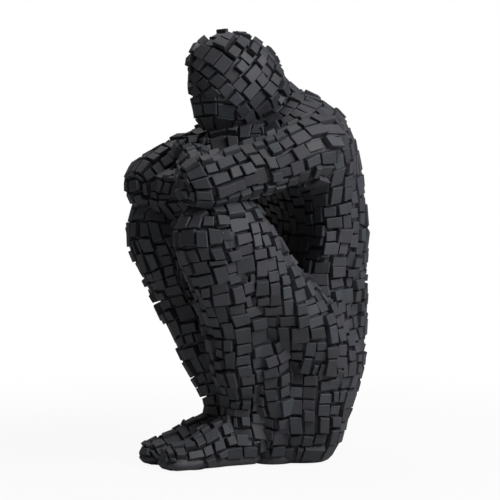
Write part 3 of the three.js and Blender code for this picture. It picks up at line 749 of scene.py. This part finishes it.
def makeFacing():
    tree = bpy.data.node_groups.new("blockFacing", "GeometryNodeTree")
    tree.interface.new_socket("Geometry", in_out="INPUT", socket_type="NodeSocketGeometry")
    for label in facingSettings:
        tree.interface.new_socket(label, in_out="INPUT", socket_type="NodeSocketFloat")
    tree.interface.new_socket("Seed", in_out="INPUT", socket_type="NodeSocketInt")
    tree.interface.new_socket("Finish", in_out="INPUT", socket_type="NodeSocketMaterial")
    tree.interface.new_socket("Geometry", in_out="OUTPUT", socket_type="NodeSocketGeometry")
    given = addNode(tree, "NodeGroupInput")

    def calc(operation, *values):
        return addNode(tree, "ShaderNodeMath", {"operation": operation}, values), "Value"

    def extruded(solids, top, rise):
        return addNode(tree, "GeometryNodeExtrudeMesh", {"mode": "FACES"}, Mesh=solids, Selection=top,
                       Offset_Scale=rise, Individual=True)

    def shrunk(solids, top, scale):
        return addNode(tree, "GeometryNodeScaleElements", {"domain": "FACE"}, Geometry=solids,
                       Selection=top, Scale=scale), "Geometry"

    isBlock = addNode(tree, "GeometryNodeInputNamedAttribute", {"data_type": "BOOLEAN"}, Name="isBlock")
    relief = addNode(tree, "GeometryNodeInputNamedAttribute", {"data_type": "FLOAT"}, Name="relief")
    parted = addNode(tree, "GeometryNodeSeparateGeometry", {"domain": "FACE"}, Geometry=(given, "Geometry"),
                     Selection=(isBlock, "Attribute"))
    chance = addNode(tree, "FunctionNodeRandomValue", {"data_type": "FLOAT"}, Seed=(given, "Seed"))
    toneChance = addNode(tree, "FunctionNodeRandomValue", {"data_type": "FLOAT"},
                         Seed=calc("ADD", (given, "Seed"), toneSeed))
    toned = addNode(tree, "GeometryNodeStoreNamedAttribute", {"data_type": "FLOAT", "domain": "FACE"},
                    Geometry=(parted, "Selection"), Name="blockTone", Value=(toneChance, "Value"))
    skewed = calc("POWER", (chance, "Value"), (given, "Height skew"))
    rise = calc("MULTIPLY_ADD", skewed, (given, "Height spread"), (given, "Block height"))
    height = calc("MULTIPLY_ADD", rise, (relief, "Attribute"), (given, "Sink"))
    raised = extruded((toned, "Geometry"), True, height)
    solids = shrunk((raised, "Mesh"), (raised, "Top"), calc("SUBTRACT", 1.0, (given, "Draft")))
    top = (raised, "Top")
    area = addNode(tree, "GeometryNodeInputMeshFaceArea")
    arris = calc("DIVIDE", (given, "Chamfer"), calc("SQRT", (area, "Area")))
    for riseShare, insetShare in lipShares:
        lip = extruded(solids, top, calc("MULTIPLY", (given, "Chamfer"), riseShare))
        top = (lip, "Top")
        narrowed = shrunk((lip, "Mesh"), top, calc("MULTIPLY_ADD", arris, -2.0 * insetShare, 1.0))
        # the chamfer facets are marked for rubbed wear and for a painted edge highlight
        wornAndHighlighted = addNode(tree, "GeometryNodeStoreNamedAttribute", {"data_type": "FLOAT", "domain": "FACE"},
                       Geometry=narrowed, Selection=(lip, "Side"), Name="edgeWear", Value=1.0)
        solids = (wornAndHighlighted, "Geometry")
    under = addNode(tree, "GeometryNodeFlipFaces", Mesh=(toned, "Geometry"))
    closed = addNode(tree, "GeometryNodeJoinGeometry", Geometry=[solids, (under, "Mesh")])
    welded = addNode(tree, "GeometryNodeMergeByDistance", Geometry=(closed, "Geometry"), Distance=weld)
    # the groove floors get one pale tone: painted light that lifts the shade in the grooves
    paintedLightFloors = addNode(tree, "GeometryNodeStoreNamedAttribute", {"data_type": "FLOAT", "domain": "FACE"},
                     Geometry=(parted, "Inverted"), Name="blockTone", Value=(given, "Groove painted light"))
    whole = addNode(tree, "GeometryNodeJoinGeometry", Geometry=[(welded, "Geometry"), (paintedLightFloors, "Geometry")])
    real = addNode(tree, "GeometryNodeRealizeInstances", Geometry=(whole, "Geometry"))
    finished = addNode(tree, "GeometryNodeSetMaterial", Geometry=(real, "Geometry"),
                       Material=(given, "Finish"))
    addNode(tree, "NodeGroupOutput", Geometry=(finished, "Geometry"))
    return tree


facing = makeFacing()
inputNames = {item.name: item.identifier for item in facing.interface.items_tree if item.in_out == "INPUT"}


# one casting: the smooth bodies of its forms and their blocks, as one plain mesh
def makeCasting(node, formNames, seed):
    points, faces, isBlock, reliefs = [], [], [], []
    for name in formNames:
        for blocks, (made, outlines, *heights) in ((False, coreSkin(name)), (True, blockFeet(name))):
            faces += [tuple(len(points) + i for i in outline) for outline in outlines]
            isBlock += [blocks] * len(outlines)
            reliefs += heights[0] if blocks else [0.0] * len(outlines)
            points += made
    mesh = bpy.data.meshes.new(node + "Feet")
    mesh.from_pydata([tuple(p * mm) for p in points], [], faces)
    mesh.attributes.new("isBlock", "BOOLEAN", "FACE").data.foreach_set("value", isBlock)
    mesh.attributes.new("relief", "FLOAT", "FACE").data.foreach_set("value", reliefs)
    mesh.polygons.foreach_set("use_smooth", [not blocks for blocks in isBlock])
    piece = bpy.data.objects.new(node + "Casting", mesh)
    bpy.context.scene.collection.objects.link(piece)
    modifier = piece.modifiers.new("blockFacing", "NODES")
    modifier.node_group = facing
    for label, value in {**facingSettings, "Seed": seed, "Finish": stoneware}.items():
        modifier[inputNames[label]] = value
    bpy.context.view_layer.update()
    plain = bpy.data.meshes.new_from_object(piece.evaluated_get(bpy.context.evaluated_depsgraph_get()))
    piece.modifiers.clear()
    piece.data = plain
    plain.name = node + "Casting"
    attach(piece, "root")
    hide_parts(node)
    print("casting", node, "blocks", sum(isBlock), "faces", len(plain.polygons))


firstSeed = 300               # each casting has its own heights and tones
for order, (node, formNames) in enumerate(castings.items()):
    makeCasting(node, formNames, firstSeed + order)


# felt pads let into the underside

padSettings = {"sides": 48, "roundOver": 0.25 * mm, "shoulder": 0.3}   # shoulder: share of the round-over


def makePad(node):
    low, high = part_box(node)
    middle = (low + high) / 2
    radius = (high.x - low.x) / 2
    over = padSettings["roundOver"]
    slope = over * padSettings["shoulder"]
    profile = [
        (0, low.z), (radius - over, low.z), (radius - slope, low.z + slope), (radius, low.z + over),
        (radius, high.z - over), (radius - slope, high.z - slope), (radius - over, high.z), (0, high.z),
    ]
    angles = [2 * math.pi * k / padSettings["sides"] for k in range(padSettings["sides"])]
    build = bmesh.new()
    rings = []
    for reach, height in profile:
        if reach == 0:
            rings.append([build.verts.new((middle.x, middle.y, height))])
            continue
        around = [(middle.x + reach * math.cos(a), middle.y + reach * math.sin(a)) for a in angles]
        rings.append([build.verts.new((x, y, height)) for x, y in around])
    for below, above in zip(rings, rings[1:]):
        for k in range(padSettings["sides"]):
            after = (k + 1) % padSettings["sides"]
            corners = [below[k % len(below)], below[after % len(below)],
                       above[after % len(above)], above[k % len(above)]]
            build.faces.new(list(dict.fromkeys(corners)))
    bmesh.ops.recalc_face_normals(build, faces=build.faces)
    mesh = bpy.data.meshes.new(node + "Disc")
    build.to_mesh(mesh)
    build.free()
    mesh.materials.append(felt)
    piece = bpy.data.objects.new(node + "Disc", mesh)
    bpy.context.scene.collection.objects.link(piece)
    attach(piece, "root")
    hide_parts(node)


for node in ("left_seat_pad", "right_seat_pad", "left_foot_pad", "right_foot_pad"):
    makePad(node)
print("felt pads made")


# studio

studioSettings = {
    "azimuth": 62.0, "elevation": 4.5, "distance": 1.7, "target": (0, 0, 0.138),
    "right": 2.9 * mm, "down": 2.6 * mm,      # the figure's place off the middle of the picture
    "lens": 190.9, "sensor": 36.0,
    "floor": "#c2c2c1", "floorRadius": 6.0, "floorRoughness": 0.9,
    "shadow": (0.15, 0.5), "whiteNear": 0.92,   # m from the middle, over which the shadow fades to white
    "sky": (0.1, 0.2),                        # from the left and from the right
    "lamps": {
        "keySoftbox": {"from": (0.85, 0.72, 0.66), "distance": 0.9, "size": 0.45, "power": 9.0},
        "topSoftbox": {"from": (-0.25, 1.0, -0.2), "distance": 0.9, "size": 0.6, "power": 3.2},
    },
}


# the camera's right, up and back
def cameraAxes(settings):
    a, e = math.radians(settings["azimuth"]), math.radians(settings["elevation"])
    back = Vector((math.sin(a) * math.cos(e), -math.cos(a) * math.cos(e), math.sin(e)))
    right = Vector((math.cos(a), math.sin(a), 0))
    return right, back.cross(right), back


def makeStudio(settings):
    scene = bpy.context.scene
    scene.view_settings.view_transform = "Standard"
    right, up, back = cameraAxes(settings)
    aim = Vector(settings["target"]) - right * settings["right"] - up * settings["down"]
    camera = bpy.data.cameras.new("photoCamera")
    camera.lens = settings["lens"]
    camera.sensor_width = settings["sensor"]
    holder = bpy.data.objects.new("photoCamera", camera)
    holder.location = aim + back * settings["distance"]
    holder.rotation_mode = "QUATERNION"
    holder.rotation_quaternion = (-back).to_track_quat("-Z", "Y")
    scene.collection.objects.link(holder)
    scene.camera = holder
    for label, lamp in settings["lamps"].items():
        light = bpy.data.lights.new(label, "AREA")
        light.size = lamp["size"]
        light.energy = lamp["power"]
        reaches = (axis * share for axis, share in zip((right, up, back), lamp["from"]))
        towards = sum(reaches, Vector()).normalized()
        stand = bpy.data.objects.new(label, light)
        stand.location = Vector(settings["target"]) + towards * lamp["distance"]
        stand.rotation_mode = "QUATERNION"
        stand.rotation_quaternion = (-towards).to_track_quat("-Z", "Y")
        scene.collection.objects.link(stand)
    world = bpy.data.worlds.new("studio")
    world.use_nodes = True
    tree = world.node_tree
    seen = addNode(tree, "ShaderNodeLightPath")
    look = addNode(tree, "ShaderNodeTexCoord")
    aside = addNode(tree, "ShaderNodeVectorMath", {"operation": "DOT_PRODUCT"},
                    [(look, "Generated"), right])
    dim, bright = settings["sky"]
    room = addNode(tree, "ShaderNodeMapRange", Value=(aside, "Value"), From_Min=-1.0, To_Min=dim,
                   To_Max=bright)
    strength = addNode(tree, "ShaderNodeMapRange", Value=(seen, "Is Camera Ray"), To_Min=(room, "Result"),
                       To_Max=1.0)
    tree.links.new(strength.outputs["Result"], tree.nodes["Background"].inputs["Strength"])
    tree.nodes["Background"].inputs["Color"].default_value = (1, 1, 1, 1)
    scene.world = world
    build = bmesh.new()
    bmesh.ops.create_circle(build, cap_ends=True, segments=96, radius=settings["floorRadius"])
    mesh = bpy.data.meshes.new("floor")
    build.to_mesh(mesh)
    build.free()
    mesh.materials.append(makeFloor(settings))
    floor = bpy.data.objects.new("floor", mesh)
    scene.collection.objects.link(floor)


# matt white paper sweep: seen from the camera it is near white, with the figure's shadow close to it
def makeFloor(settings):
    material = bpy.data.materials.new("whitePaper")
    material.use_nodes = True
    tree = material.node_tree
    shader = tree.nodes["Principled BSDF"]
    shader.inputs["Base Color"].default_value = hexColour(settings["floor"])
    shader.inputs["Roughness"].default_value = settings["floorRoughness"]
    place = addNode(tree, "ShaderNodeTexCoord")
    reach = addNode(tree, "ShaderNodeVectorMath", {"operation": "LENGTH"}, Vector=(place, "Object"))
    near, far = settings["shadow"]
    white = addNode(tree, "ShaderNodeMapRange", {"interpolation_type": "SMOOTHSTEP"},
                    Value=(reach, "Value"), From_Min=near, From_Max=far, To_Min=settings["whiteNear"],
                    To_Max=1.0)
    seen = addNode(tree, "ShaderNodeLightPath")
    share = addNode(tree, "ShaderNodeMath", {"operation": "MULTIPLY"},
                    [(white, "Result"), (seen, "Is Camera Ray")])
    glow = addNode(tree, "ShaderNodeEmission", Color=(1, 1, 1, 1), Strength=1.0)
    mixed = addNode(tree, "ShaderNodeMixShader", None,
                    [(share, "Value"), (shader, "BSDF"), (glow, "Emission")])
    tree.links.new(mixed.outputs["Shader"], tree.nodes["Material Output"].inputs["Surface"])
    return material


makeStudio(studioSettings)
print("studio made")
